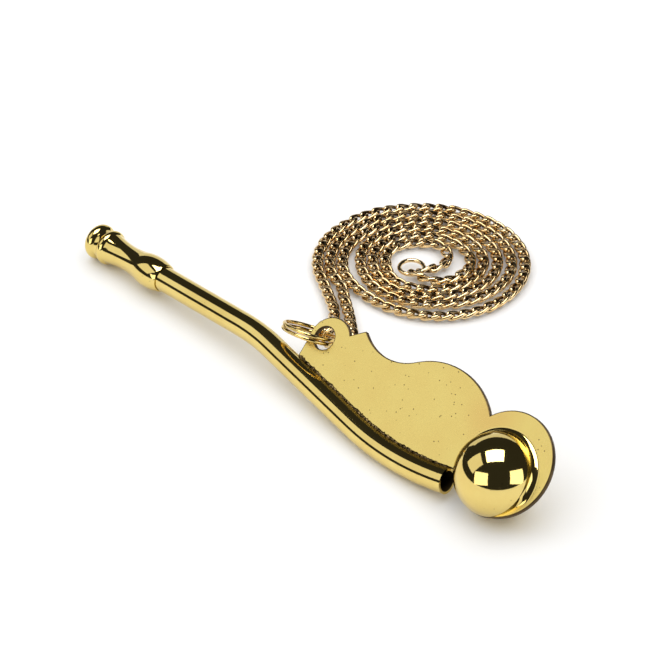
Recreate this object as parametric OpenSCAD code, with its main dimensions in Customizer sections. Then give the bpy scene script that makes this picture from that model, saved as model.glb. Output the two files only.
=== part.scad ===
// Boatswain call with split ring and coiled neck chain, lying on a table.
// The call is drawn with its tube along X and its keel in the XZ plane, then leaned back to rest
// on the lip, the ball and the belly of the tube. Millimetres, +Z up, table at Z = 0.

/* [Mouthpiece] */
// length of the turned mouthpiece
mouth_len = 22; // [20:0.5:25]
// largest radius of the lip bead
lip_r = 3.85; // [3.6:0.05:4.2]
// radius of the narrow waist
waist_r = 2.75; // [2.6:0.05:3]
// largest radius of the collar
collar_r = 3.55; // [3.4:0.05:3.9]
// radius of the blow hole
blow_r = 1.9; // [1.5:0.05:2.1]
// depth of the socket that takes the tube
socket_len = 7.5; // [5:0.5:9]

/* [Gun tube] */
// outer radius of the tube
tube_r = 2.62; // [2.4:0.02:2.8]
// wall thickness of the tube
tube_wall = 0.5; // [0.3:0.05:0.7]
// where the first bend starts
bend_x = 46; // [42:0.5:50]
// radius of the bend down
bend_down_r = 50; // [40:1:60]
// radius of the bend up
bend_up_r = 70; // [60:1:80]
// angle of the slope between the bends
slope = 11; // [10:0.25:12]
// length of the sloped straight
slope_len = 28; // [26:0.5:30]
// angle of the open end above the axis
rise = 10.5; // [9:0.25:11]

/* [Keel] */
// plate thickness
keel_t = 1.1; // [0.8:0.1:1.6]
// radius of the round ear
ear_r = 5.1; // [4.8:0.1:5.6]
// radius of the hole in the ear
ear_hole_r = 2.4; // [2.3:0.05:2.7]
// radius of the hollow between ear and lobe
hollow_r = 12; // [11:0.25:12.5]
// radius of the lobe
lobe_r = 16.8; // [16:0.1:17.4]
// radius of the flange round the ball
flange_r = 10.8; // [10.2:0.1:11.4]

/* [Ball] */
// outer radius of the ball
ball_r = 8.5; // [8:0.1:9]
// wall thickness of the half-shells
ball_wall = 0.7; // [0.5:0.05:1]
// radius of the air hole
air_hole_r = 3; // [2.4:0.1:3.4]

/* [Split ring] */
// mean radius of the ring
ring_r = 5.45; // [5.2:0.05:5.7]
// radius of its wire
ring_wire_r = 0.41; // [0.36:0.01:0.46]
// free gap between its two turns
turn_gap = 0.08; // [0.06:0.01:0.12]

/* [Chain] */
// distance from link to link
link_pitch = 2.8; // [2.76:0.02:2.84]
// radius of the link wire
link_wire_r = 0.4; // [0.34:0.01:0.41]
// half the width of a link between wire centres
link_half_w = 1.1; // [1.08:0.01:1.12]
// half the length of a link's straight sides
link_half_s = 0.9; // [0.88:0.01:0.92]
// mean radius of the closing ring
closing_r = 2.6; // [2.58:0.01:2.62]
// wire radius of the closing ring
closing_wire_r = 0.45; // [0.4:0.01:0.48]
// mean radius of the jump rings at the split ring
jump_r = 2; // [1.95:0.05:2.1]

/* [Hidden] */
$fn = 48;
plate_colour = [0.86, 0.72, 0.36];
wire_colour = [0.78, 0.58, 0.28];
// soldered joints keep this film between the pieces
solder = 0.02;
// the tube's end stops this far short of the shoulder in its socket
shoulder_gap = 0.12;
// the tube's long straight laps its first bend by this length, and is this much thicker each way
lap = 0.3;
swell = 0.03;
// lean of the keel from upright and the call's slope along X
lean = 46.6;
ball_x = 118.4;
ball_z = -0.5;
lip_x = 1.6;
pitch = asin((ball_r - lip_r - ball_z*cos(lean)) / (ball_x - lip_x));
axis_z = lip_r - lip_x*sin(pitch);
// middle of the call's footprint
foot = [64.77, 0.825];

// tube centreline in the keel plane
socket_x = mouth_len - socket_len;
down_c = [bend_x, -bend_down_r];
down_end = down_c + bend_down_r*[sin(slope), cos(slope)];
slope_end = down_end + slope_len*[cos(slope), -sin(slope)];
up_c = slope_end + bend_up_r*[sin(slope), cos(slope)];
tube_end = up_c + bend_up_r*[sin(rise), -cos(rise)];
air_hole_dir = 220;
mouth_top = tube_end + (tube_r + solder)*[-sin(rise), cos(rise)];
cavity_r = ball_r - ball_wall;

// keel outline
ear_c = [67.6, 5.8];
ear_hole_c = [66.3, 5.9];
ear_x = 62.7;
hollow_c = [82, 20.7];
lobe_c = [98.6, 13.95 - lobe_r];
lobe_x = 88.9;
flange_c = [118.9, 2.1];

// split ring placement: it passes through the hole in the ear
ring_at = [62.07, -0.09, 5.29];
ring_turn = [-32.1, -6.4, 0];
jog = 24;
jog_at = 150;

// chain route on the table
coil_c = [51.9, 46.1];
// radius of the outermost strand, and the distance between neighbouring strands where they lie closest
coil_r = 22;
strand_gap = 2.6;
coil_start = 204;
// the coil is pressed to an oval, whose long axis is turned from X
oval = 0.92;
oval_turn = 46;
chain_z = link_half_w*sin(45) + link_wire_r + 0.03;
hook_z = 1.55;
link_reach = link_half_s + link_half_w;
a_count = 106;
b_count = 87;
a_end = [963, 6.2];
b_end = [851, 4.95];
a_ring_at = 114;
b_ring_at = 82;
drop = 5;
closing_at = [-2.05, -2.19];
slit = 4;

function unit(v) = v / norm(v);
function turn_x(p, a) = [p[0], p[1]*cos(a) - p[2]*sin(a), p[1]*sin(a) + p[2]*cos(a)];
function turn_y(p, a) = [p[0]*cos(a) + p[2]*sin(a), p[1], -p[0]*sin(a) + p[2]*cos(a)];
function in_ring(p) = turn_y(turn_x(p, ring_turn[0]), ring_turn[1]);
ring_c = [0, 0, axis_z] + turn_y(turn_x(ring_at, -lean), -pitch);
ring_axis = in_ring([0, 0, 1]);

// where a strand hangs on the split ring, and which way it leaves
function hang_out(at) = in_ring([cos(at), sin(at), 0]);
function hang_dir(at) = unit(cos(drop)*hang_out(at) - sin(drop)*ring_axis);
function hang_axis(at) = in_ring([-sin(at), cos(at), 0]);
function hang_c(at) = ring_c + ring_r*hang_out(at) + 0.55*hang_dir(at);
function first_link(at) = hang_c(at) + 3*hang_dir(at);

// radius of a strand after a turn of t degrees round the coil
function ease(u, from) = (1 - cos(180*min(1, max(0, (u - from)/(1 - from))))) / 2;
function turns_in(t, first, later) = floor(t/360) + ease(t/360 - floor(t/360), t < 360 ? first : later);
function dent(t, at) = -1.3*exp(-pow((t - at)/36, 2));
function row_gap(t) = strand_gap + 0.15*(1 + cos(coil_start - t - 45));
function a_radius(t) = coil_r - 2*row_gap(t)*turns_in(t, 0.7, 0.52) + dent(t, 735);
function b_radius(t) = coil_r - row_gap(t)*(1 + 2*turns_in(t, 0.56, 0.5)) + dent(t, 375) + dent(t, 735);
function in_coil(p, z) = [coil_c[0] + p[0]*cos(oval_turn) - p[1]*sin(oval_turn),
  coil_c[1] + p[0]*sin(oval_turn) + p[1]*cos(oval_turn), z];
function coil_pt(r, t, z) = in_coil(r*[cos(coil_start - t), oval*sin(coil_start - t)], z);
// the last of a spiral climbs to the closing ring's height
function spiral(a_side, t0, t1) = [for (t = [t0 : 1 : t1]) coil_pt(a_side ? a_radius(t) : b_radius(t), t,
  chain_z + (hook_z - chain_z)*min(1, max(0, (t - t1 + 70)/60)))];
closing_c = in_coil(closing_at, hook_z);

// smooth curve through the lead's points
function smooth_pt(p, q, r, s, t) = 0.5*(2*q + (r - p)*t + (2*p - 5*q + 4*r - s)*t*t
  + (3*q - p - 3*r + s)*t*t*t);
function smooth(pts) = [for (i = [1 : len(pts) - 3], k = [0 : 23])
  smooth_pt(pts[i - 1], pts[i], pts[i + 1], pts[i + 2], k/24)];

// last bend of a strand, turning in to the closing ring
function tail(p, q, r) = let (h = unit(q - p), c = q + r*[h[1], -h[0], 0], a = atan2(q[1] - c[1], q[0] - c[0]))
  [for (s = [2 : 2 : 190]) [c[0] + r*cos(a - s), c[1] + r*sin(a - s), hook_z]];

a_lead = [hang_c(a_ring_at), first_link(a_ring_at), [57.3, 13.6, 3.1], [54.9, 17.3, 1.75], [51, 21.1, 1.4],
  [46.4, 24, chain_z]];
b_lead = [hang_c(b_ring_at), first_link(b_ring_at), [62.7, 15.4, 2.9], [60.1, 17.8, 1.8], [56.8, 20.4, 1.4],
  [53.2, 23.1, chain_z], [49.4, 25.7, chain_z], [46.2, 28, chain_z]];
a_coil = spiral(true, 8, a_end[0]);
b_coil = spiral(false, 10, b_end[0]);
function whole(lead, coil, r) = concat(smooth(concat(lead, [coil[0], coil[12]])), coil,
  tail(coil[len(coil) - 2], coil[len(coil) - 1], r));
a_path = whole(a_lead, a_coil, a_end[1]);
b_path = whole(b_lead, b_coil, b_end[1]);

// link centres, one pitch apart along a path
function reach(path, p, i) = i < len(path) - 1 && norm(path[i] - p) < link_pitch ? reach(path, p, i + 1) : i;
function meet(path, p, i) = let (d = path[i] - path[i - 1], f = path[i - 1] - p, b = f*d, c = f*f - link_pitch*link_pitch)
  path[i - 1] + d*(sqrt(max(0, b*b - d*d*c)) - b)/(d*d);
function march(path, count) = [for (n = 0, p = path[0], i = 1; n < count;
  n = n + 1, i = reach(path, p, i), p = meet(path, p, i)) p];
a_links = march(a_path, a_count);
b_links = march(b_path, b_count);

// direction and roll of link i
function along(c, i, first) = i == 0 ? first
  : i == len(c) - 1 ? unit(1.5*unit(c[i] - c[i - 1]) - 0.5*unit(c[i - 1] - c[i - 2]))
  : unit(c[i + 1] - c[i - 1]);
function roll(n, i) = (i % 2)*90 - 45*min(1, i/6) + (n % 2 == 0 ? 20 : -20)*max(0, 1 - (n - 1 - i)/4);
function cross_dir(t, a) = let (s = unit([-t[1], t[0], 0])) cos(a)*s + sin(a)*cross(t, s);

module lay() {
  translate([-foot[0], -foot[1], 0]) children();
}

module call_pose() {
  lay() translate([0, 0, axis_z]) rotate([-lean, -pitch, 0]) children();
}

// draws a keel-plane outline as a plate of thickness t centred on the plane
module plate(t) {
  rotate([90, 0, 0]) translate([0, 0, -t/2]) linear_extrude(t) children();
}

module mouth_profile() {
  difference() {
    union() {
      translate([lip_r - 1.5, 1.6]) circle(r = 1.5);
      translate([lip_r - 1.25, 5]) circle(r = 1.2);
      translate([1.2, 1.6]) square([1.9, 3.4]);
      difference() {
        translate([1.2, 4.6]) square([2.1, socket_x - 4.5]);
        translate([waist_r + 22, 11]) circle(r = 22, $fn = 160);
      }
      intersection() {
        translate([collar_r - 12, mouth_len - 3.8]) circle(r = 12, $fn = 120);
        translate([1.2, socket_x]) square([4, socket_len]);
      }
    }
    translate([-1, -1]) square([1 + blow_r, mouth_len + 2]);
    translate([-1, socket_x]) square([1 + tube_r + swell + solder, mouth_len]);
    translate([blow_r + 0.1, -0.6]) circle(r = 0.8);
  }
}

module mouthpiece() {
  color(plate_colour) call_pose() rotate([0, 90, 0]) rotate_extrude($fn = 96) mouth_profile();
}

// a straight and a bent length of tube
module tube_straight(l, over) {
  rotate([0, 90, 0]) difference() {
    cylinder(r = tube_r + over, h = l);
    translate([0, 0, -1]) cylinder(r = tube_r - tube_wall - over, h = l + 2);
  }
}

module tube_bend(r, a, from) {
  rotate([90, 0, 0]) rotate_extrude(angle = a, start = from, $fn = 180) translate([r, 0]) difference() {
    circle(r = tube_r);
    circle(r = tube_r - tube_wall);
  }
}

// drawn from the start of the slope: the long straight laps the first bend by a hair
module gun_tube() {
  straight = bend_x - socket_x - shoulder_gap;
  color(plate_colour) call_pose() translate([bend_x, 0, -bend_down_r]) rotate([0, slope, 0])
    translate([0, 0, bend_down_r]) {
      tube_straight(slope_len, 0);
      translate([0, 0, -bend_down_r]) tube_bend(bend_down_r, slope, 90);
      translate([slope_len, 0, bend_up_r]) tube_bend(bend_up_r, slope + rise, -90);
      translate([0, 0, -bend_down_r]) rotate([0, -slope, 0]) translate([-straight, 0, bend_down_r])
        tube_straight(straight + lap, swell);
    }
}

// everything below the top of the tube
module under_tube() {
  top = tube_r + solder;
  polygon(concat([[ear_x - 4, -20], [ear_x - 4, top]],
    [for (a = [0 : 1 : slope]) down_c + (bend_down_r + top)*[sin(a), cos(a)]],
    [for (a = [-slope : 1 : rise]) up_c + (bend_up_r - top)*[sin(a), -cos(a)]],
    [mouth_top, mouth_top + [12, 0], [mouth_top[0] + 12, -20]]));
}

// web between ear and lobe, hollowed at the top
module web_outline() {
  difference() {
    polygon([[ear_x, -9], [ear_x, ear_c[1]], ear_c, [72.2, 9.5], [74.4, 11.2], [76, 11.1],
      [lobe_x + 3, 11.1], [lobe_x + 3, -9]]);
    translate(hollow_c) circle(r = hollow_r, $fn = 96);
  }
}

module lobe_outline() {
  intersection() {
    translate(lobe_c) circle(r = lobe_r, $fn = 120);
    translate([lobe_x, -10]) square([24, 30]);
  }
}

module flange_outline() {
  difference() {
    translate(flange_c) circle(r = flange_r, $fn = 96);
    translate([mouth_top[0] - 6, -20]) square([9, 20 + mouth_top[1]]);
  }
}

module air_hole() {
  translate([ball_x, 0, ball_z]) rotate([0, 90 - air_hole_dir, 0]) cylinder(r = air_hole_r, h = 14);
}

module keel_blank() {
  difference() {
    union() {
      plate(keel_t) translate(ear_c) circle(r = ear_r);
      plate(keel_t) web_outline();
      plate(keel_t) lobe_outline();
    }
    plate(keel_t + 2) under_tube();
  }
  plate(keel_t) flange_outline();
  plate(keel_t) translate([ball_x, ball_z]) circle(r = ball_r, $fn = 96);
}

module keel() {
  color(plate_colour) call_pose() difference() {
    keel_blank();
    plate(keel_t + 2) translate(ear_hole_c) circle(r = ear_hole_r);
    plate(keel_t + 2) translate([ball_x, ball_z]) circle(r = cavity_r - 0.3, $fn = 96);
    air_hole();
  }
}

module half_shell() {
  rotate_extrude($fn = 96) intersection() {
    difference() {
      circle(r = ball_r, $fn = 96);
      circle(r = cavity_r, $fn = 96);
    }
    translate([0, keel_t/2 + solder]) square(ball_r);
  }
}

module ball_front() {
  color(plate_colour) call_pose() difference() {
    translate([ball_x, 0, ball_z]) rotate([90, 0, 0]) half_shell();
    air_hole();
  }
}

module ball_back() {
  color(plate_colour) call_pose() difference() {
    translate([ball_x, 0, ball_z]) rotate([-90, 0, 0]) half_shell();
    air_hole();
  }
}

module wire_ring(r, wire, a) {
  rotate_extrude(angle = a, $fn = 72) translate([r, 0]) circle(r = wire, $fn = 20);
}

// two turns of wire joined by one slanting jog
module split_ring() {
  level = ring_wire_r + turn_gap/2;
  half = ring_r*sin(jog/2);
  near = ring_r*cos(jog/2);
  slant = norm([2*half, 2*level]);
  color(wire_colour) lay() translate(ring_c) rotate(ring_turn) rotate([0, 0, jog_at]) {
    translate([0, 0, -level]) rotate([0, 0, jog/2]) wire_ring(ring_r, ring_wire_r, 360 - jog - 0.4);
    translate([0, 0, level]) rotate([0, 0, jog/2 + 0.4]) wire_ring(ring_r, ring_wire_r, 360 - jog - 0.4);
    translate([near, -half, -level]) sphere(r = ring_wire_r + 0.02, $fn = 20);
    translate([near, half, level]) sphere(r = ring_wire_r + 0.02, $fn = 20);
    translate([near, -half, -level]) rotate([-atan2(half, level), 0, 0]) translate([0, 0, 0.05])
      cylinder(r = ring_wire_r, h = slant - 0.1, $fn = 20);
  }
}

// puts a ring or link lying in its XY plane at c, with X along t and Y along e
module place(c, t, e) {
  n = cross(t, e);
  multmatrix([[t[0], e[0], n[0], c[0]], [t[1], e[1], n[1], c[1]], [t[2], e[2], n[2], c[2]], [0, 0, 0, 1]])
    children();
}

module end_jump_rings() {
  color(wire_colour) lay() for (at = [a_ring_at, b_ring_at])
    place(hang_c(at), hang_dir(at), cross(hang_axis(at), hang_dir(at)))
      rotate([0, 0, 40]) wire_ring(jump_r, link_wire_r, 360 - slit);
}

module closing_ring() {
  color(wire_colour) lay() translate(closing_c) rotate([0, 0, 100])
    wire_ring(closing_r, closing_wire_r, 360 - slit);
}

// one chain link: two half-round ends joined by straight sides
module link() {
  for (side = [-1, 1]) {
    translate([side*link_half_s, 0, 0]) rotate([0, 0, -90*side])
      rotate_extrude(angle = 180, $fn = 32) translate([link_half_w, 0]) circle(r = link_wire_r, $fn = 16);
    translate([-link_half_s, side*link_half_w, 0]) rotate([0, 90, 0])
      cylinder(r = link_wire_r, h = 2*link_half_s, $fn = 16);
  }
}

module links(c, at, from, to) {
  color(wire_colour) lay() for (i = [from : to]) {
    t = along(c, i, hang_dir(at));
    place(c[i], t, cross_dir(t, roll(len(c), i))) link();
  }
}

module chain_a_lead() {
  links(a_links, a_ring_at, 0, 11);
}

module chain_a_outer() {
  links(a_links, a_ring_at, 12, 56);
}

module chain_a_middle() {
  links(a_links, a_ring_at, 57, 88);
}

module chain_a_inner() {
  links(a_links, a_ring_at, 89, a_count - 1);
}

module chain_b_lead() {
  links(b_links, b_ring_at, 0, 11);
}

module chain_b_outer() {
  links(b_links, b_ring_at, 12, 46);
}

module chain_b_middle() {
  links(b_links, b_ring_at, 47, 74);
}

module chain_b_inner() {
  links(b_links, b_ring_at, 75, b_count - 1);
}

mouthpiece();
gun_tube();
keel();
ball_front();
ball_back();
split_ring();
end_jump_rings();
closing_ring();
chain_a_lead();
chain_a_outer();
chain_a_middle();
chain_a_inner();
chain_b_lead();
chain_b_outer();
chain_b_middle();
chain_b_inner();
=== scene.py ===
# %% [markdown]
# # A boatswain call on its neck chain
# The call is a small brass pipe: a turned mouthpiece, a bent tube, a flat plate soldered along the tube
# and a hollow ball that the tube blows at. A split ring hangs in the plate's ear and carries a curb chain.
# The solids come first as a fixed frame, and each finished piece is then modelled on top of them. Shapes are
# drawn in millimetres, as the solids were, and a matrix brings them to Blender's metres.

# %% Load the frame
import math
import random

import bmesh
import bpy
from mathutils import Matrix, Vector


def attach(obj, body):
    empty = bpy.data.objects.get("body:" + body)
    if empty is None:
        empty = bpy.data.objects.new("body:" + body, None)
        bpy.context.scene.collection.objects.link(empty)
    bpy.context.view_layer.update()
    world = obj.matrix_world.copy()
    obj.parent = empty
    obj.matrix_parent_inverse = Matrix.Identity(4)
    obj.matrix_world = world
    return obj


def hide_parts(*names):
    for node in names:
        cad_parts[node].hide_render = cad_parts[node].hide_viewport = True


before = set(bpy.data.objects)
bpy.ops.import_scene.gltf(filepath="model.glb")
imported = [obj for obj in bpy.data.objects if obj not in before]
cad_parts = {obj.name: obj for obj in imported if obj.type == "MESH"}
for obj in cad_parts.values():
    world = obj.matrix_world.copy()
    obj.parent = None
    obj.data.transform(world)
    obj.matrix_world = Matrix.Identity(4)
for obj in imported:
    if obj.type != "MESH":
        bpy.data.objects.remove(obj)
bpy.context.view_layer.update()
MM = 0.001
print("solids loaded:", len(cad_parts))

# %% [markdown]
# ## Camera
# The photograph was taken from 37 degrees above the table with a long lens, so lines stay almost parallel.
# The camera is aimed by a rotation made from the line of sight; the lens is worked out for a square picture.

# %% Camera
aim = Vector((-9.448, 15.788, 0)) * MM
toward = Vector((0.573, -0.556, 0.602)).normalized()
eye_distance = 745.6
eye = aim + toward * eye_distance * MM
camera = bpy.data.objects.new("camera", bpy.data.cameras.new("camera"))
camera.data.sensor_width = 36
camera.data.lens = 194.9
camera.data.clip_start = 0.01
camera.location = eye
camera.rotation_euler = toward.to_track_quat("Z", "Y").to_euler()
bpy.context.scene.collection.objects.link(camera)
bpy.context.scene.camera = camera
print("camera at", [round(v, 3) for v in eye])

# %% [markdown]
# ## Floor and room
# Polished brass shows its surroundings more than its own colour. The floor is pale and almost matt, and the
# room is nearly black, so that the brass keeps deep dark bands between the bright panels that come next.

# %% Floor
floor_mesh = bpy.data.meshes.new("floor")
bm = bmesh.new()
bmesh.ops.create_grid(bm, x_segments=1, y_segments=1, size=3)
bm.to_mesh(floor_mesh)
bm.free()
floor = bpy.data.objects.new("floor", floor_mesh)
bpy.context.scene.collection.objects.link(floor)
pale = bpy.data.materials.new("pale_floor")
pale.use_nodes = True
pale_shader = pale.node_tree.nodes["Principled BSDF"]
pale_shader.inputs["Base Color"].default_value = (0.92, 0.92, 0.92, 1)
pale_shader.inputs["Roughness"].default_value = 0.9
floor_mesh.materials.append(pale)
print("floor faces", len(floor_mesh.polygons))

# %% Dark room
world = bpy.data.worlds.new("studio")
bpy.context.scene.world = world
world.use_nodes = True
back = world.node_tree.nodes["Background"]
back.inputs["Color"].default_value = (1, 1, 1, 1)
back.inputs["Strength"].default_value = 0.03
print("room strength", round(back.inputs["Strength"].default_value, 3))


# %% [markdown]
# ## Panels
# Six soft panels stand one metre from the origin and face it. The brass mirrors a window overhead, a panel at
# each side, a low backdrop and the panel that makes the plate golden. The last one only fills the floor with
# light, and is hidden from reflections. A panel's power follows from its size and the brightness wanted.

# %% Panels
def panel(name, direction, width, height, radiance):
    light = bpy.data.lights.new(name, "AREA")
    light.shape = "RECTANGLE"
    light.size = width
    light.size_y = height
    light.energy = radiance * math.pi * width * height
    lamp = bpy.data.objects.new(name, light)
    way = Vector(direction).normalized()
    sideways = Vector((-toward.y, toward.x, 0))
    sideways = (sideways - way * sideways.dot(way)).normalized()
    lamp.location = way
    lamp.rotation_euler = Matrix((sideways, way.cross(sideways), way)).transposed().to_euler()
    bpy.context.scene.collection.objects.link(lamp)
    print(name, "watts", round(light.energy, 2))
    return lamp


panel("top_panel", (-0.05, -0.03, 1), 0.76, 0.62, 6.0).visible_diffuse = False
panel("plate_panel", (-0.573, -0.571, 0.59), 0.66, 0.66, 0.98)
panel("left_panel", (0.02, -0.93, 0.33), 0.66, 0.56, 1.9)
panel("right_panel", (0.93, 0.2, 0.32), 0.66, 0.56, 1.9)
panel("backdrop", (-0.7, 0.68, 0.2), 1.2, 0.4, 0.8)
panel("floor_fill", (-0.1, 0.1, 1), 2.4, 2.4, 1.5).visible_glossy = False
bpy.context.scene.view_settings.view_transform = "Standard"


# %% [markdown]
# ## Finishes
# Brass is a metal, so its colour is the colour of its reflections. Every finish adds slow clouds of tone and
# a fine grain in the roughness, read from Object coordinates so that they stay put on the piece. The sizes
# of grain and clouds are in millimetres.

# %% Brass
def metal(name, light_tone, dark_tone, rough, grain_size, grain_depth, cloud_size=7):
    finish = bpy.data.materials.new(name)
    finish.use_nodes = True
    tree = finish.node_tree
    shader = tree.nodes["Principled BSDF"]
    shader.inputs["Metallic"].default_value = 1.0
    where = tree.nodes.new("ShaderNodeTexCoord")
    clouds = tree.nodes.new("ShaderNodeTexNoise")
    clouds.inputs["Scale"].default_value = 1 / (cloud_size * MM)
    clouds.inputs["Detail"].default_value = 8
    clouds.inputs["Roughness"].default_value = 0.62
    tone = tree.nodes.new("ShaderNodeValToRGB")
    dark_end, light_end = tone.color_ramp.elements
    dark_end.position, light_end.position = 0.35, 0.65
    dark_end.color, light_end.color = (*dark_tone, 1), (*light_tone, 1)
    grain = tree.nodes.new("ShaderNodeTexNoise")
    grain.inputs["Scale"].default_value = 1 / (grain_size * MM)
    grain.inputs["Detail"].default_value = 4
    gloss = tree.nodes.new("ShaderNodeMapRange")
    gloss.inputs["To Min"].default_value = rough * 0.6
    gloss.inputs["To Max"].default_value = rough * 1.4
    bump = tree.nodes.new("ShaderNodeBump")
    bump.inputs["Strength"].default_value = grain_depth
    bump.inputs["Distance"].default_value = 0.05 * MM
    for texture in (clouds, grain):
        tree.links.new(where.outputs["Object"], texture.inputs["Vector"])
    tree.links.new(clouds.outputs["Fac"], tone.inputs["Fac"])
    tree.links.new(tone.outputs["Color"], shader.inputs["Base Color"])
    tree.links.new(grain.outputs["Fac"], gloss.inputs["Value"])
    tree.links.new(gloss.outputs["Result"], shader.inputs["Roughness"])
    tree.links.new(grain.outputs["Fac"], bump.inputs["Height"])
    tree.links.new(bump.outputs["Normal"], shader.inputs["Normal"])
    print("finish", name)
    return finish


polished_brass = metal("polished_brass", (0.80, 0.63, 0.22), (0.74, 0.56, 0.18), 0.06, 0.4, 0.05)
plate_brass = metal("plate_brass", (0.80, 0.635, 0.205), (0.78, 0.60, 0.19), 0.24, 0.25, 0.12)
ring_brass = metal("ring_brass", (0.76, 0.57, 0.21), (0.66, 0.46, 0.15), 0.10, 0.3, 0.08)
chain_brass = metal("chain_brass", (0.90, 0.70, 0.40), (0.74, 0.50, 0.22), 0.12, 0.3, 0.10)
# A near-black brass for the plate's rim: a painted dark reflection.
rim_dark_reflection = metal("rim_dark_reflection", (0.15, 0.10, 0.042), (0.05, 0.032, 0.014), 0.42, 0.3, 0.4)
solder_grey = metal("solder_grey", (0.17, 0.12, 0.055), (0.006, 0.004, 0.002), 0.26, 0.3, 0.9, 0.7)
# A dark finish for the inside of the bores: painted shade in the hollow.
bore_painted_shade = metal("bore_painted_shade", (0.10, 0.07, 0.03), (0.05, 0.035, 0.015), 0.6, 0.4, 0.3)


# %% [markdown]
# ## Tarnish with painted shade, and pits
# Wear and painted shade are a second colour laid over a finish. On the chain a value stored at each vertex
# says how deep in a crevice it lies, and lays tarnish and painted crevice shade there. On the plate and the
# turned parts a Voronoi texture sets a small dark pit in each cell.

# %% Tarnish and painted crevice shade
def laid_over(finish, share, tone):
    tree = finish.node_tree
    shader = tree.nodes["Principled BSDF"]
    bright = shader.inputs["Base Color"].links[0].from_socket
    mix = tree.nodes.new("ShaderNodeMixRGB")
    mix.inputs["Color2"].default_value = (*tone, 1)
    tree.links.new(share, mix.inputs["Fac"])
    tree.links.new(bright, mix.inputs["Color1"])
    tree.links.new(mix.outputs["Color"], shader.inputs["Base Color"])


# The stored value lays a dark tone that is tarnish and painted crevice shade at once.
def tarnish_and_shade_over(finish, tone):
    worn = finish.node_tree.nodes.new("ShaderNodeAttribute")
    worn.attribute_name = "tarnish_and_shade"
    laid_over(finish, worn.outputs["Fac"], tone)
    print("tarnish on", finish.name)


def pitted(finish, spacing, size, tone):
    tree = finish.node_tree
    where = tree.nodes.new("ShaderNodeTexCoord")
    pits = tree.nodes.new("ShaderNodeTexVoronoi")
    pits.inputs["Scale"].default_value = 1 / (spacing * MM)
    near = tree.nodes.new("ShaderNodeMapRange")
    near.inputs["From Min"].default_value = size / spacing
    near.inputs["From Max"].default_value = 0.6 * size / spacing
    tree.links.new(where.outputs["Object"], pits.inputs["Vector"])
    tree.links.new(pits.outputs["Distance"], near.inputs["Value"])
    laid_over(finish, near.outputs["Result"], tone)
    print("pits on", finish.name)


# The chain's near-black tone is tarnish and painted shade in the links' crevices.
tarnish_and_shade_over(chain_brass, (0.07, 0.028, 0.004))
pitted(plate_brass, 1.4, 0.16, (0.12, 0.075, 0.025))
pitted(polished_brass, 2.0, 0.12, (0.20, 0.13, 0.04))

# %% [markdown]
# ## The call's own axes
# The call is drawn lying straight: X along the tube, Z up in the plate. One matrix then leans it back and
# lets it down on its lip and its ball, as the solids lie.

# %% Rest matrix
lip_r, ball_r, tube_r, tube_wall, plate_t = 3.85, 8.5, 2.62, 0.5, 1.1
solder_film = 0.02
lip_x = 1.6
ball_c = Vector((118.4, 0, -0.5))
lean = math.radians(46.6)
pitch = math.asin((ball_r - lip_r - ball_c.z * math.cos(lean)) / (ball_c.x - lip_x))
axis_z = lip_r - lip_x * math.sin(pitch)
foot = Vector((64.77, 0.825, 0))
to_row = Matrix.Scale(MM, 4) @ Matrix.Translation(-foot)
rest = (to_row @ Matrix.Translation((0, 0, axis_z)) @ Matrix.Rotation(-pitch, 4, "Y")
        @ Matrix.Rotation(-lean, 4, "X"))
print("pitch", round(math.degrees(pitch), 3), "axis height", round(axis_z, 3))


# %% [markdown]
# ## Helpers
# Every new piece ends the same way: doubles are merged, faces turned outwards, the shape brought to its place
# and its edges shaded by their angle. Two more helpers pick the vertices or the edges out of what an operator
# returns.

# %% Helpers
def points_of(geom):
    return [g for g in geom if isinstance(g, bmesh.types.BMVert)]


def edges_of(geom):
    return [g for g in geom if isinstance(g, bmesh.types.BMEdge)]


def finished(bm, name, matrix, finishes, smooth=35, turn_out=True):
    bmesh.ops.remove_doubles(bm, verts=bm.verts, dist=0.0005)
    if turn_out:
        bmesh.ops.recalc_face_normals(bm, faces=bm.faces)
    bmesh.ops.transform(bm, matrix=matrix, verts=bm.verts)
    mesh = bpy.data.meshes.new(name)
    bm.to_mesh(mesh)
    bm.free()
    for finish in finishes:
        mesh.materials.append(finish)
    mesh.shade_smooth()
    mesh.set_sharp_from_angle(angle=math.radians(smooth))
    piece = bpy.data.objects.new(name, mesh)
    bpy.context.scene.collection.objects.link(piece)
    print(name, "faces", len(mesh.polygons))
    return piece


# %% [markdown]
# ## Mouthpiece
# It is turned on a lathe, so half its section is drawn once and spun round the axis. The section runs from
# the blow hole over the lip bead, the groove, the second bead, the hollow waist and the collar.

# %% Section of the mouthpiece
blow_r, blow_end, lip_face, mouth_len = 1.9, 14.4, 0.3, 22
lip_curve, groove_r, groove_start, groove_end = 1.5, 3.1, 3.1, 3.72
bead_x, bead_r, bead_curve = 5, 3.8, 1.2
waist_x, waist_r, waist_curve, waist_start = 11, 2.75, 22, 6.2
collar_x, collar_r, collar_curve, collar_start, collar_end = 18.2, 3.55, 12, 15, 21.8
rim_outer_r, rim_inner_r = 2.86, 2.7


def steps(start, end, count):
    return [start + (end - start) * k / count for k in range(count + 1)]


def arc(cx, cr, radius, start, end, count):
    return [(cx + radius * math.cos(math.radians(t)), cr + radius * math.sin(math.radians(t)))
            for t in steps(start, end, count)]


waist = [(x, waist_r + waist_curve - math.sqrt(waist_curve ** 2 - (x - waist_x) ** 2))
         for x in steps(waist_start, collar_start, 20)]
collar = [(x, collar_r - collar_curve + math.sqrt(collar_curve ** 2 - (x - collar_x) ** 2))
          for x in steps(collar_start, collar_end, 16)[1:]]
section = [(blow_end, blow_r), (6, blow_r), (lip_face, blow_r)]
section += arc(lip_x, lip_r - lip_curve, lip_curve, 190, 32, 20)
section += [(groove_start, groove_r), (groove_end, groove_r)]
section += arc(bead_x, bead_r - bead_curve, bead_curve, 154, 37, 14)
section += waist + collar + [(mouth_len, rim_outer_r), (mouth_len, rim_inner_r)]
print("section points", len(section))

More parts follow.
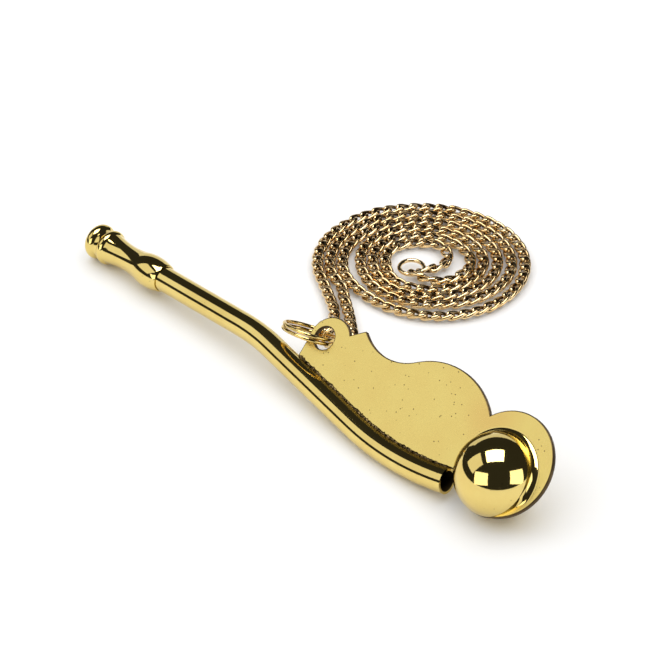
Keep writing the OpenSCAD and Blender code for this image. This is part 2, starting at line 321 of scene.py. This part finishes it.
# %% Mouthpiece
bm = bmesh.new()
corners = [bm.verts.new((x, 0, r)) for x, r in section]
edges = [bm.edges.new(pair) for pair in zip(corners, corners[1:])]
bmesh.ops.spin(bm, geom=corners + edges, cent=(0, 0, 0), axis=(1, 0, 0), angle=math.tau, steps=96,
               use_merge=True)
# Faces inside the blow hole take the painted shade.
for face in bm.faces:
    in_bore = max(v.co.yz.length for v in face.verts) < blow_r + 0.05
    face.material_index = 1 if in_bore else 0
mouthpiece = finished(bm, "mouthpiece_turned", rest, [polished_brass, bore_painted_shade])
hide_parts("mouthpiece")
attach(mouthpiece, "call")

# %% [markdown]
# ## Gun tube
# A ring of vertices is pushed along the straights with extrude and round the bends with spin. At the open
# end it turns inwards and runs back up the bore, so that the mouth shows its wall.

# %% Line of the tube
tube_x, bend_x, bend_down_r, bend_up_r, slope_len = 15, 46, 50, 70, 28
slope, rise = math.radians(11), math.radians(10.5)
slope_way = Vector((math.cos(slope), 0, -math.sin(slope)))
slope_up = Vector((math.sin(slope), 0, math.cos(slope)))
down_c = Vector((bend_x, 0, -bend_down_r))
down_end = down_c + bend_down_r * slope_up
slope_end = down_end + slope_len * slope_way
up_c = slope_end + bend_up_r * slope_up


def push(bm, ring, way):
    made = bmesh.ops.extrude_edge_only(bm, edges=edges_of(ring))["geom"]
    points = points_of(made)
    bmesh.ops.translate(bm, vec=way, verts=points)
    return points + [e for e in edges_of(made) if all(v in points for v in e.verts)]


def bend(bm, ring, centre, angle, steps):
    return bmesh.ops.spin(bm, geom=ring, cent=centre, axis=(0, 1, 0), angle=angle, steps=steps)["geom_last"]


print("slope from", [round(v, 2) for v in down_end], "to", [round(v, 2) for v in slope_end])

# %% Gun tube
tube_sides, down_steps, up_steps = 56, 16, 32
facing_x = Matrix.Rotation(math.pi / 2, 4, "Y")
bm = bmesh.new()
ring = bmesh.ops.create_circle(bm, segments=tube_sides, radius=tube_r,
                               matrix=Matrix.Translation((tube_x, 0, 0)) @ facing_x)["verts"]
ring = ring + list(bm.edges)
ring = push(bm, ring, Vector((bend_x - tube_x, 0, 0)))
ring = bend(bm, ring, down_c, slope, down_steps)
ring = push(bm, ring, slope_len * slope_way)
ring = bend(bm, ring, up_c, -(slope + rise), up_steps)
tube_end = sum((v.co for v in points_of(ring)), Vector()) / tube_sides
ring = push(bm, ring, Vector())
for v in points_of(ring):
    v.co = tube_end + (v.co - tube_end) * (1 - tube_wall / tube_r)
outside_and_lip = set(bm.faces)
bend(bm, ring, up_c, slope + rise, up_steps)
# Faces running back up the bore take the painted shade.
for face in bm.faces:
    face.material_index = 0 if face in outside_and_lip else 1
gun_tube = finished(bm, "gun_tube_drawn", rest, [polished_brass, bore_painted_shade], 60)
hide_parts("gun_tube")
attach(gun_tube, "call")
print("tube ends at", [round(v, 2) for v in tube_end])

# %% [markdown]
# ## Ball
# Two pressed half-shells meet on the plate. A sphere is cut at the plate's face and given its wall, and the
# air hole that the tube blows into is cut with a Boolean, because it crosses both halves at a slant.

# %% Cutter for the air hole
shell_wall, seat_y = 0.7, plate_t / 2 + solder_film
air_hole_r, air_hole_turn, cutter_len = 3, math.radians(90 - 220), 14
hole_way = Matrix.Rotation(air_hole_turn, 4, "Y") @ Matrix.Translation((0, 0, cutter_len / 2))
cutter_mesh = bpy.data.meshes.new("air_hole")
bm = bmesh.new()
bmesh.ops.create_cone(bm, cap_ends=True, segments=64, radius1=air_hole_r, radius2=air_hole_r,
                      depth=cutter_len, matrix=Matrix.Translation(ball_c) @ hole_way)
bmesh.ops.transform(bm, matrix=rest, verts=bm.verts)
bm.to_mesh(cutter_mesh)
bm.free()
cutter = bpy.data.objects.new("air_hole", cutter_mesh)
bpy.context.scene.collection.objects.link(cutter)
print("cutter faces", len(cutter_mesh.polygons))


# %% Half-shells
def half_shell(name, side):
    bm = bmesh.new()
    place = Matrix.Translation(ball_c) @ Matrix.Rotation(math.pi / 2, 4, "X")
    bmesh.ops.create_uvsphere(bm, u_segments=96, v_segments=64, radius=ball_r, matrix=place)
    outside = set(bm.faces)
    bmesh.ops.create_uvsphere(bm, u_segments=96, v_segments=64, radius=ball_r - shell_wall, matrix=place)
    bmesh.ops.reverse_faces(bm, faces=[f for f in bm.faces if f not in outside])
    cut = bmesh.ops.bisect_plane(bm, geom=list(bm.verts) + list(bm.edges) + list(bm.faces), dist=0.00001,
                                 plane_co=(0, side * seat_y, 0), plane_no=(0, -side, 0),
                                 clear_outer=True)["geom_cut"]
    seat = bmesh.ops.bridge_loops(bm, edges=edges_of(cut))["faces"]
    bm.normal_update()
    bmesh.ops.reverse_faces(bm, faces=[f for f in seat if f.normal.y * side > 0])
    print(name, "wall volume", round(bm.calc_volume(signed=True), 1))
    shell = finished(bm, name, rest, [polished_brass], turn_out=False)
    hole = shell.modifiers.new("air_hole", "BOOLEAN")
    hole.object = cutter
    hole.solver = "EXACT"
    whole = bpy.data.meshes.new_from_object(shell.evaluated_get(bpy.context.evaluated_depsgraph_get()))
    shell.modifiers.clear()
    shell.data = whole
    whole.shade_smooth()
    whole.set_sharp_from_angle(angle=math.radians(35))
    print(name, "faces after the hole", len(whole.polygons))
    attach(shell, "call")
    return shell


ball_front = half_shell("ball_front_shell", -1)
ball_back = half_shell("ball_back_shell", 1)
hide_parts("ball_front")
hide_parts("ball_back")
bpy.data.objects.remove(cutter)

# %% [markdown]
# ## Solder round the ball
# Where each half-shell sits on the plate, the solder has run into a hollow fillet. Its section is an arc that
# touches both, spun round the ball as far as the plate reaches, and its two ends are thinned.

# %% Ball fillets
fillet_r, fillet_tuck = 1.4, 0.1
fillet_start, fillet_sweep = 24, 206
thin_over, thin_end = 14, 0.25


def fillet(name, side):
    centre_y = fillet_r + seat_y
    centre = Vector((math.sqrt((ball_r + fillet_r) ** 2 - centre_y ** 2), centre_y))
    corner = Vector((math.sqrt(ball_r ** 2 - seat_y ** 2) - fillet_tuck, seat_y - fillet_tuck))
    top = math.degrees(math.atan2(-centre.y, -centre.x)) + 360
    section = [corner] + [Vector(p) for p in arc(centre.x, centre.y, fillet_r, top, 270, 9)]
    bm = bmesh.new()
    points = [bm.verts.new((p.x, side * p.y, 0)) for p in section]
    edges = [bm.edges.new((p, q)) for p, q in zip(points, points[1:] + points[:1])]
    to_start = Matrix.Rotation(math.radians(fillet_start), 3, "Y")
    bmesh.ops.rotate(bm, cent=(0, 0, 0), matrix=to_start, verts=bm.verts)
    bmesh.ops.contextual_create(bm, geom=edges)
    made = bmesh.ops.spin(bm, geom=points + edges, cent=(0, 0, 0), axis=(0, 1, 0),
                          angle=-math.radians(fillet_sweep), steps=72)["geom_last"]
    bmesh.ops.contextual_create(bm, geom=edges_of(made))
    for v in bm.verts:
        around = math.degrees(math.atan2(v.co.z, v.co.x)) % 360
        around = around - 360 if around > 270 else around
        to_end = min(around + fillet_start, fillet_sweep - fillet_start - around)
        thick = min(1, thin_end + (1 - thin_end) * to_end / thin_over)
        rim = Vector((corner.x * math.cos(math.radians(around)), side * corner.y,
                      corner.x * math.sin(math.radians(around))))
        v.co = rim + (v.co - rim) * thick
    bead = finished(bm, name, rest @ Matrix.Translation(ball_c), [polished_brass], 50)
    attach(bead, "call")
    return bead


fillet("ball_fillet_front", -1)
fillet("ball_fillet_back", 1)

# %% [markdown]
# ## Heat tint
# Heat from the soldering has left a redder spot near the lobe's edge. A smooth ramp on the distance from one
# point lays that tone over the plate's finish.

# %% Heat tint
tint_at = rest @ Vector((111, 0, 8.5))
tint_edge, tint_core, tint_share = 8.5 * MM, 1 * MM, 0.42
tree = plate_brass.node_tree
spot = tree.nodes.new("ShaderNodeVectorMath")
spot.operation = "DISTANCE"
spot.inputs[1].default_value = tint_at
reach = tree.nodes.new("ShaderNodeMapRange")
reach.interpolation_type = "SMOOTHSTEP"
reach.inputs["From Min"].default_value = tint_edge
reach.inputs["From Max"].default_value = tint_core
reach.inputs["To Max"].default_value = tint_share
place = tree.nodes.new("ShaderNodeTexCoord")
tree.links.new(place.outputs["Object"], spot.inputs[0])
tree.links.new(spot.outputs["Value"], reach.inputs["Value"])
laid_over(plate_brass, reach.outputs["Result"], (0.72, 0.44, 0.14))
print("tint round", [round(v, 3) for v in tint_at])

# %% [markdown]
# ## Keel plate
# The plate is sawn from sheet and its edges are eased. Its outline is already exact in the solid, so a copy
# of that mesh is merged and its rim gets a small bevel. The rim's finish is near black, a painted dark
# reflection.

# %% Keel
rim_bevel = 0.24 * MM
bm = bmesh.new()
bm.from_mesh(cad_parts["keel"].data)
bmesh.ops.remove_doubles(bm, verts=bm.verts, dist=0.001 * MM)
bmesh.ops.dissolve_limit(bm, angle_limit=math.radians(0.5), verts=bm.verts, edges=bm.edges)
flat = max(bm.faces, key=lambda f: f.calc_area()).normal.copy()


def on_flat(face):
    return abs(face.normal.dot(flat)) > 0.9999


rim = [e for e in bm.edges if len(e.link_faces) == 2 and any(on_flat(f) for f in e.link_faces)
       and e.calc_face_angle(0) > math.radians(50)]
bmesh.ops.bevel(bm, geom=rim, offset=rim_bevel, offset_type="OFFSET", affect="EDGES", segments=4, profile=0.5,
                material=-1, clamp_overlap=False)
for e in bm.edges:
    caps = [on_flat(f) for f in e.link_faces]
    e.smooth = all(caps) or not any(caps)
keel_mesh = bpy.data.meshes.new("keel_plate")
bm.to_mesh(keel_mesh)
bm.free()
# The second finish paints the bevelled rim near black, a painted dark reflection.
for finish in (plate_brass, rim_dark_reflection):
    keel_mesh.materials.append(finish)
for face in keel_mesh.polygons:
    face.use_smooth = True
    face.material_index = 0 if on_flat(face) else 1
keel = bpy.data.objects.new("keel_plate", keel_mesh)
bpy.context.scene.collection.objects.link(keel)
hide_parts("keel")
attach(keel, "call")
print("keel faces", len(keel_mesh.polygons), "rim edges", len(rim))

# %% [markdown]
# ## Solder seam
# The plate is soldered to the tube by hand, which leaves a dark, lumpy seam on both sides. A thin bead
# follows the tube with the same extrude and spin, and its rings are then swollen and pinched by chance.

# %% Solder seam
seam_r, seam_start, seam_step, seam_short = 0.34, 7.6, 0.3, 0.012
straight_rings = round((slope_len - seam_start) / seam_step)
bend_rings = 84


def seam(name, side, seed):
    luck = random.Random(seed)
    bm = bmesh.new()
    start = down_end + seam_start * slope_way
    at = start + slope_up * (tube_r + solder_film) + Vector((0, side * seat_y, 0))
    ring = bmesh.ops.create_circle(bm, segments=8, radius=seam_r, matrix=Matrix.Translation(at)
                                   @ Matrix.Rotation(slope, 4, "Y") @ facing_x)["verts"]
    rings = [ring + list(bm.edges)]
    for _ in range(straight_rings):
        rings.append(push(bm, rings[-1], seam_step * slope_way))
    for _ in range(bend_rings):
        rings.append(bend(bm, rings[-1], up_c, -(slope + rise - seam_short) / bend_rings, 1))
    for ring in rings:
        points = points_of(ring)
        middle = sum((v.co for v in points), Vector()) / len(points)
        swell = luck.uniform(0.6, 1.3)
        for v in points:
            v.co = middle + (v.co - middle) * (swell * luck.uniform(0.7, 1.3))
    for ring in (rings[0], rings[-1]):
        bmesh.ops.contextual_create(bm, geom=edges_of(ring))
    bead = finished(bm, name, rest, [solder_grey], 70)
    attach(bead, "call")
    return bead


seam("solder_front", -1, 5)
seam("solder_back", 1, 9)

# %% [markdown]
# ## Split ring
# Two turns of one wire. The wire's section is spun round almost a full turn, climbs by one wire's
# thickness in twelve short spins that start and end gently, and goes round once more.

# %% Split ring
ring_r, ring_wire_r, ring_level = 5.45, 0.41, 0.45
ring_in_call = Vector((62.07, -0.09, 5.29))
ring_c = Vector((0, 0, axis_z)) + (Matrix.Rotation(-pitch, 4, "Y") @ Matrix.Rotation(-lean, 4, "X")
                                   @ ring_in_call)
ring_turn = Matrix.Rotation(math.radians(-6.4), 4, "Y") @ Matrix.Rotation(math.radians(-32.1), 4, "X")
cross_angle, cross_at, cross_steps = math.radians(36), math.radians(40), 12
climbed = [-ring_level * math.cos(math.pi * k / cross_steps) for k in range(cross_steps + 1)]
one_turn = [(math.tau - cross_angle, 84, 0)]
cross_over = [(cross_angle / cross_steps, 1, high - low) for low, high in zip(climbed, climbed[1:])]
bm = bmesh.new()
first = Matrix.Rotation(cross_at + cross_angle / 2, 4, "Z") @ Matrix.Translation((ring_r, 0, -ring_level))
wire = bmesh.ops.create_circle(bm, segments=16, radius=ring_wire_r,
                               matrix=first @ Matrix.Rotation(math.pi / 2, 4, "X"))["verts"]
tips = [wire + list(bm.edges)]
for angle, spins, climb in one_turn + cross_over + one_turn:
    tips.append(bmesh.ops.spin(bm, geom=tips[-1], cent=(0, 0, 0), axis=(0, 0, 1), angle=angle, steps=spins,
                               dvec=(0, 0, climb))["geom_last"])
for tip in (tips[0], tips[-1]):
    bmesh.ops.contextual_create(bm, geom=edges_of(tip))
ring_place = to_row @ Matrix.Translation(ring_c) @ ring_turn
split_ring = finished(bm, "split_ring_wire", ring_place, [ring_brass], 60)
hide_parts("split_ring")
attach(split_ring, "split_ring")

# %% [markdown]
# ## Route of the chain
# Two strands leave the split ring, lie side by side round the coil and end at one small ring. Each strand is
# a smooth lead, a spiral whose radius shrinks once a turn, and a last tight bend. The route repeats that of
# the solids, and the links are marched along it at one exact pitch.

# %% Spiral
link_pitch, coil_r, strand_gap, hook_z = 2.8, 22.0, 2.6, 1.55
link_half_w, link_wire_r = 1.1, 0.43
chain_z = link_half_w * math.sin(math.pi / 4) + link_wire_r
coil_c, coil_start, oval = Vector((51.9, 46.1, 0)), 204, 0.92
oval_turn = Matrix.Rotation(math.radians(46), 3, "Z")
dent_depth, dent_width, b_first_dent, last_dent = 1.3, 36, 375, 735
hook_lead, hook_climb = 70, 60


def ease(u, start):
    return (1 - math.cos(math.pi * min(1, max(0, (u - start) / (1 - start))))) / 2


def turns_in(t, first, later):
    return t // 360 + ease(t / 360 - t // 360, first if t < 360 else later)


def dent(t, at):
    return -dent_depth * math.exp(-((t - at) / dent_width) ** 2)


def row_gap(t):
    return strand_gap + 0.15 * (1 + math.cos(math.radians(coil_start - t - 45)))


def a_radius(t):
    return coil_r - 2 * row_gap(t) * turns_in(t, 0.7, 0.52) + dent(t, last_dent)


def b_radius(t):
    rows = 1 + 2 * turns_in(t, 0.56, 0.5)
    return coil_r - row_gap(t) * rows + dent(t, b_first_dent) + dent(t, last_dent)


def spiral(radius, start, end):
    curve = []
    for t in range(start, end + 1):
        way = math.radians(coil_start - t)
        height = chain_z + (hook_z - chain_z) * min(1, max(0, (t - end + hook_lead) / hook_climb))
        out = oval_turn @ Vector((math.cos(way), oval * math.sin(way), 0))
        curve.append(coil_c + radius(t) * out + Vector((0, 0, height)))
    return curve


a_coil, b_coil = spiral(a_radius, 8, 963), spiral(b_radius, 10, 851)
print("spiral points", len(a_coil), len(b_coil))


# %% Leads and ends
def smooth(points):
    curve = []
    for p, q, r, s in zip(points, points[1:], points[2:], points[3:]):
        for k in range(24):
            t = k / 24
            curve.append(0.5 * (2 * q + (r - p) * t + (2 * p - 5 * q + 4 * r - s) * t * t
                                + (3 * q - p - 3 * r + s) * t ** 3))
    return curve


def tail(p, q, radius):
    way = (q - p).normalized()
    centre = q + radius * Vector((way.y, -way.x, 0))
    turn = math.degrees(math.atan2(q.y - centre.y, q.x - centre.x))
    return [Vector((centre.x + radius * math.cos(math.radians(turn - s)),
                    centre.y + radius * math.sin(math.radians(turn - s)), hook_z)) for s in range(2, 192, 2)]


def hang(angle):
    tilt = math.radians(5)
    out = ring_turn @ Vector((math.cos(math.radians(angle)), math.sin(math.radians(angle)), 0))
    drop = (math.cos(tilt) * out - math.sin(tilt) * (ring_turn @ Vector((0, 0, 1)))).normalized()
    return ring_c + ring_r * out + 0.55 * drop, drop


a_hang, a_drop = hang(114)
b_hang, b_drop = hang(82)
a_lead = [a_hang, a_hang + 3 * a_drop] + [Vector(p) for p in (
    (57.3, 13.6, 3.1), (54.9, 17.3, 1.75), (51, 21.1, 1.4), (46.4, 24, chain_z))]
b_lead = [b_hang, b_hang + 3 * b_drop] + [Vector(p) for p in (
    (62.7, 15.4, 2.9), (60.1, 17.8, 1.8), (56.8, 20.4, 1.4), (53.2, 23.1, chain_z), (49.4, 25.7, chain_z),
    (46.2, 28, chain_z))]
print("strands hang at", [round(v, 2) for v in a_hang], [round(v, 2) for v in b_hang])


# %% March
def march(path, count):
    spots, at, i = [path[0]], path[0], 1
    while len(spots) < count:
        while i < len(path) - 1 and (path[i] - at).length < link_pitch:
            i += 1
        d, f = path[i] - path[i - 1], path[i - 1] - at
        b = f.dot(d)
        root = math.sqrt(max(0, b * b - d.dot(d) * (f.dot(f) - link_pitch ** 2)))
        at = path[i - 1] + d * ((root - b) / d.dot(d))
        spots.append(at)
    return spots


def route(lead, coil, end_r):
    return smooth(lead + [coil[0], coil[12]]) + coil + tail(coil[-2], coil[-1], end_r)


a_spots = march(route(a_lead, a_coil, 6.2), 106)
b_spots = march(route(b_lead, b_coil, 4.95), 87)
print("links", len(a_spots), len(b_spots))

# %% [markdown]
# ## Curb links
# A curb link is an oval of wire twisted a quarter turn, so that each link lies flat while its neighbours
# hook through its ends at right angles. A wire ring is spun, pulled long and twisted. The inside of the loop
# gets more tarnish and painted shade than the outside.

# %% One link
half_s, half_w, wire_r, half_twist = 1.0, 1.02, 0.6, math.radians(-45)
bm = bmesh.new()
loop = bmesh.ops.create_circle(bm, segments=5, radius=wire_r, matrix=Matrix.Translation((half_w, 0, 0))
                               @ Matrix.Rotation(math.pi / 2, 4, "X"))["verts"]
bmesh.ops.spin(bm, geom=loop + list(bm.edges), cent=(0, 0, 0), axis=(0, 0, 1), angle=math.tau, steps=12,
               use_merge=True)
# Tarnish and painted crevice shade: darker towards the inside of the loop.
link_tarnish_and_shade = [min(1, max(0, 0.25 + (half_w - v.co.xy.length) / wire_r)) for v in bm.verts]
for side in (-1, 1):
    bmesh.ops.translate(bm, vec=(side * half_s, 0, 0), verts=[v for v in bm.verts if v.co.x * side > 0.01])
for v in bm.verts:
    v.co = Matrix.Rotation(half_twist * v.co.x / (half_s + half_w), 3, "X") @ v.co
bmesh.ops.recalc_face_normals(bm, faces=bm.faces)
link_mesh = bpy.data.meshes.new("curb_link")
bm.to_mesh(link_mesh)
bm.free()
print("link faces", len(link_mesh.polygons))


# %% [markdown]
# ## Strands
# The link is copied to every spot of the route, with a little chance in its roll. Links near the split ring
# and near the closing ring roll half on edge and keep the route's height; the others are let down on the
# table. One level of subdivision rounds the wire, because the copied shape itself stays small.

# %% Strands
hung_links, end_links, floor_gap = 12, 5, 0.06
roll_edge, roll_start, roll_end, roll_chance = 45, 6, 4, 9


def strand(name, spots, first_way, seed):
    luck = random.Random(seed)
    bm = bmesh.new()
    last = len(spots) - 1
    for i, spot in enumerate(spots):
        ahead, behind = spots[min(i + 1, last)], spots[max(i - 1, 0)]
        way = first_way if i == 0 else (ahead - behind).normalized()
        across = Vector((-way.y, way.x, 0)).normalized()
        on_edge = max(0, 1 - i / roll_start) + max(0, 1 - (last - i) / roll_end)
        roll = math.radians(roll_edge * on_edge + luck.uniform(-roll_chance, roll_chance))
        width = math.cos(roll) * across + math.sin(roll) * way.cross(across)
        turn = Matrix((way, width, way.cross(width))).transposed()
        lowest = min((turn @ v.co).z for v in link_mesh.vertices)
        on_table = hung_links <= i <= last - end_links
        height = floor_gap - lowest if on_table else spot.z
        had = len(bm.verts)
        bm.from_mesh(link_mesh)
        bm.verts.ensure_lookup_table()
        bmesh.ops.transform(bm, matrix=to_row @ Matrix.Translation((spot.x, spot.y, height)) @ turn.to_4x4(),
                            verts=bm.verts[had:])
    mesh = bpy.data.meshes.new(name)
    bm.to_mesh(mesh)
    bm.free()
    mesh.materials.append(chain_brass)
    # Each link carries the tarnish and painted crevice shade value of its vertices.
    tarnish_and_shade = mesh.attributes.new("tarnish_and_shade", "FLOAT", "POINT")
    tarnish_and_shade.data.foreach_set("value", link_tarnish_and_shade * len(spots))
    mesh.shade_smooth()
    piece = bpy.data.objects.new(name, mesh)
    bpy.context.scene.collection.objects.link(piece)
    round_off = piece.modifiers.new("round_wire", "SUBSURF")
    round_off.levels = 1
    round_off.render_levels = 1
    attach(piece, "call")
    print(name, "links", len(spots), "faces", len(mesh.polygons))
    return piece


chain_a = strand("chain_strand_a", a_spots, a_drop, 21)
chain_b = strand("chain_strand_b", b_spots, b_drop, 34)
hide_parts("chain_a_lead", "chain_a_outer", "chain_a_middle", "chain_a_inner")
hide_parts("chain_b_lead", "chain_b_outer", "chain_b_middle", "chain_b_inner")

# %% [markdown]
# ## The small rings
# The route runs from middle to middle of the end links. The small rings on the chain are plain round wire,
# so their solids stay and only take the chain's finish.

# %% Small rings
rings = [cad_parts["end_jump_rings"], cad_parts["closing_ring"]]
for node in rings:
    node.data.materials.clear()
    node.data.materials.append(chain_brass)
